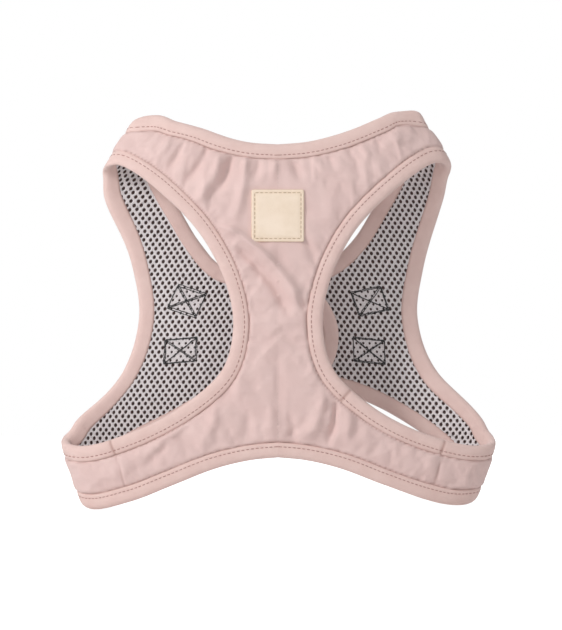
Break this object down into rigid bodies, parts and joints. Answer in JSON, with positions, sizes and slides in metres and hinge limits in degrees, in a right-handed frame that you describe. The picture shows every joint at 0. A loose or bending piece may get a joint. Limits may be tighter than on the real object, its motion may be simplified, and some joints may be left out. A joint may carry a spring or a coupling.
{
  "type": "step-in dog harness",
  "caption": "Padded step-in dog harness with bound edges, mesh lining, overlapping back wings, leash rings and a side-release buckle.",
  "frame": {"origin": "middle of the torso opening, level with the lowest edge of the belly band", "axes": "+Z towards the neck, +X to the side of the outer wing, chest panel faces -Y, back wings face +Y"},
  "size_m": [0.264, 0.0629, 0.2411],
  "materials": {
    "shell_cloth": "matte, tightly knitted neoprene-like cloth",
    "binding_tape": "matte, fine stretch binding",
    "foam": "soft padding",
    "air_mesh": "open knitted spacer mesh",
    "webbing": "woven nylon webbing",
    "hook_loop": "hook and loop tape",
    "leather_patch": "smooth vegetable-tanned leather",
    "ring_metal": "polished nickel plate",
    "buckle_plastic": "satin moulded acetal"
  },
  "bodies": {
    "chest": {"chest_shell": "shell_cloth", "chest_padding": "foam", "chest_lining": "air_mesh", "label_patch": "leather_patch", "neck_binding": "binding_tape", "belly_binding": "binding_tape", "left_leg_binding_front": "binding_tape", "right_leg_binding_front": "binding_tape"},
    "left_wing": {"left_wing_shell": "shell_cloth", "left_wing_padding": "foam", "left_wing_lining": "air_mesh", "left_wing_rim_binding": "binding_tape", "left_wing_leg_binding": "binding_tape", "hook_tape": "hook_loop", "left_ring_strap": "webbing", "left_buckle_strap": "webbing"},
    "right_wing": {"right_wing_shell": "shell_cloth", "right_wing_padding": "foam", "right_wing_lining": "air_mesh", "right_wing_rim_binding": "binding_tape", "right_wing_leg_binding": "binding_tape", "loop_tape": "hook_loop", "right_ring_strap": "webbing", "right_buckle_strap": "webbing"},
    "left_ring": {"left_d_ring": "ring_metal"},
    "right_ring": {"right_d_ring": "ring_metal"},
    "plug": {"buckle_plug": "buckle_plastic"},
    "upper_arm": {"plug_arm_upper": "buckle_plastic"},
    "lower_arm": {"plug_arm_lower": "buckle_plastic"},
    "socket": {"buckle_socket": "buckle_plastic"}
  },
  "joints": [
    {"name": "right_wing_open", "type": "hinge", "parent": "chest", "child": "right_wing", "pos_m": [0.1075, 0, 0.211], "axis": [0.154, 0, -0.9881], "range_deg": [0, 150]},
    {"name": "left_wing_open", "type": "hinge", "parent": "chest", "child": "left_wing", "pos_m": [-0.1075, 0, 0.211], "axis": [0.154, 0, 0.9881], "range_deg": [0, 67.5]},
    {"name": "left_ring_swing", "type": "hinge", "parent": "left_wing", "child": "left_ring", "pos_m": [-0.04193, 0.0234, 0.12157], "axis": [0.309, 0, 0.9511], "range_deg": [0, 150]},
    {"name": "right_ring_swing", "type": "hinge", "parent": "right_wing", "child": "right_ring", "pos_m": [0.04233, 0.0307, 0.12308], "axis": [0.2079, 0, -0.9781], "range_deg": [0, 150]},
    {"name": "buckle_plug_swing", "type": "hinge", "parent": "left_wing", "child": "plug", "pos_m": [-0.02961, 0.0233, 0.09862], "axis": [-0.0872, 0, 0.9962], "range_deg": [0, 95]},
    {"name": "buckle_socket_swing", "type": "hinge", "parent": "right_wing", "child": "socket", "pos_m": [0.03112, 0.0306, 0.0984], "axis": [-0.0993, 0, -0.9951], "range_deg": [0, 100]},
    {"name": "upper_arm_squeeze", "type": "hinge", "parent": "plug", "child": "upper_arm", "pos_m": [-0.02124, 0.0233, 0.10844], "axis": [0, 1, 0], "range_deg": [0, 7], "stiffness_Nm_per_rad": 0.05},
    {"name": "lower_arm_squeeze", "type": "hinge", "parent": "plug", "child": "lower_arm", "pos_m": [-0.01966, 0.0233, 0.09041], "axis": [0, -1, 0], "range_deg": [0, 7], "stiffness_Nm_per_rad": 0.05}
  ],
  "couplings": [
    {"joint": "left_wing_open", "follows": "right_wing_open", "ratio": 0.45}
  ]
}
